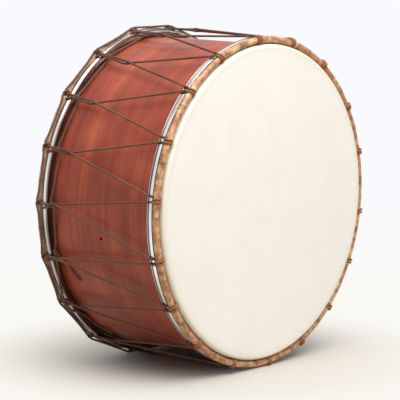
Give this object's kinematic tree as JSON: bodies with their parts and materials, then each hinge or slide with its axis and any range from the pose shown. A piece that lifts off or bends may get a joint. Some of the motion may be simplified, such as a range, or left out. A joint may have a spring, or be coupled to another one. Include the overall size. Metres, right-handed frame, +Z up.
{
  "type": "tupan drum",
  "caption": "Two-headed bass drum with a bent-wood shell, metal flesh hoops and cane counter hoops pulled together by rope lacing.",
  "frame": {"origin": "on the floor, under the middle of the drum as it stands on its rim", "axes": "+Y along the drum's axis, from the struck front head to the back head; +Z up; +X to the right of a person who faces the front head"},
  "size_m": [0.5986, 0.2826, 0.5908],
  "materials": {
    "shell_wood": "mahogany-red stain under satin-gloss varnish",
    "inner_wood": "bare bent wood",
    "film": "cream-white polyester film, faint fibre mottle",
    "hoop_metal": "rolled, bright satin",
    "cane": "tan cane, lightly varnished, with nodes and mottling",
    "rope": "dark brown laid rope"
  },
  "bodies": {
    "root": {"shell": "shell_wood", "front_inner_hoop": "inner_wood", "front_head": "film", "front_flesh_hoop": "hoop_metal", "front_cane_hoop": "cane", "back_inner_hoop": "inner_wood", "back_head": "film", "back_flesh_hoop": "hoop_metal", "back_cane_hoop": "cane", "lacing_01": "rope", "lacing_02": "rope", "lacing_03": "rope", "lacing_04": "rope", "lacing_05": "rope", "lacing_06": "rope", "lacing_07": "rope", "lacing_08": "rope", "lacing_09": "rope", "lacing_10": "rope", "lacing_11": "rope", "lacing_12": "rope", "lacing_13": "rope", "lacing_14": "rope", "lacing_15": "rope", "lacing_16": "rope", "lacing_17": "rope", "lacing_18": "rope", "rope_end_short": "rope", "rope_end_long": "rope"}
  },
  "joints": []
}
